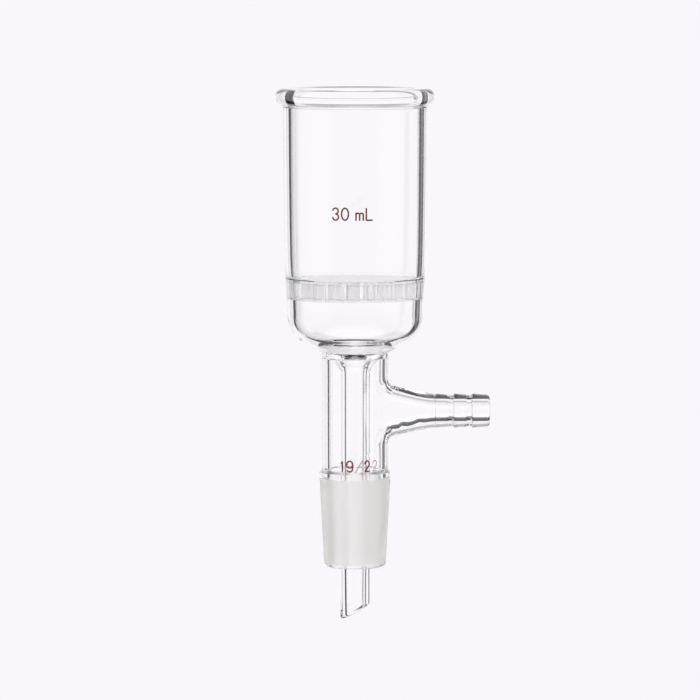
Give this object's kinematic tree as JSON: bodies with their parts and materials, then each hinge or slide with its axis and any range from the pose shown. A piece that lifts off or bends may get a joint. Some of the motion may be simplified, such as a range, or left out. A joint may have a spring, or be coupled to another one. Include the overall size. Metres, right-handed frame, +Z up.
{
  "type": "fritted glass filter funnel",
  "caption": "Clear glass filter funnel with a white sintered disc, a ridged side tail for a suction hose, a slanted drip stem and a ground cone.",
  "frame": {"origin": "on the funnel's axis at the large end of the ground cone, where the joint's size is gauged", "axes": "+Z up along the funnel from cone to rim, +X along the hose tail"},
  "size_m": [0.0571, 0.0422, 0.1414],
  "materials": {
    "clear_glass": "clear, polished",
    "sintered_glass": "matt, granular"
  },
  "bodies": {
    "root": {"glass_body": "clear_glass", "fritted_disc": "sintered_glass"}
  },
  "joints": []
}
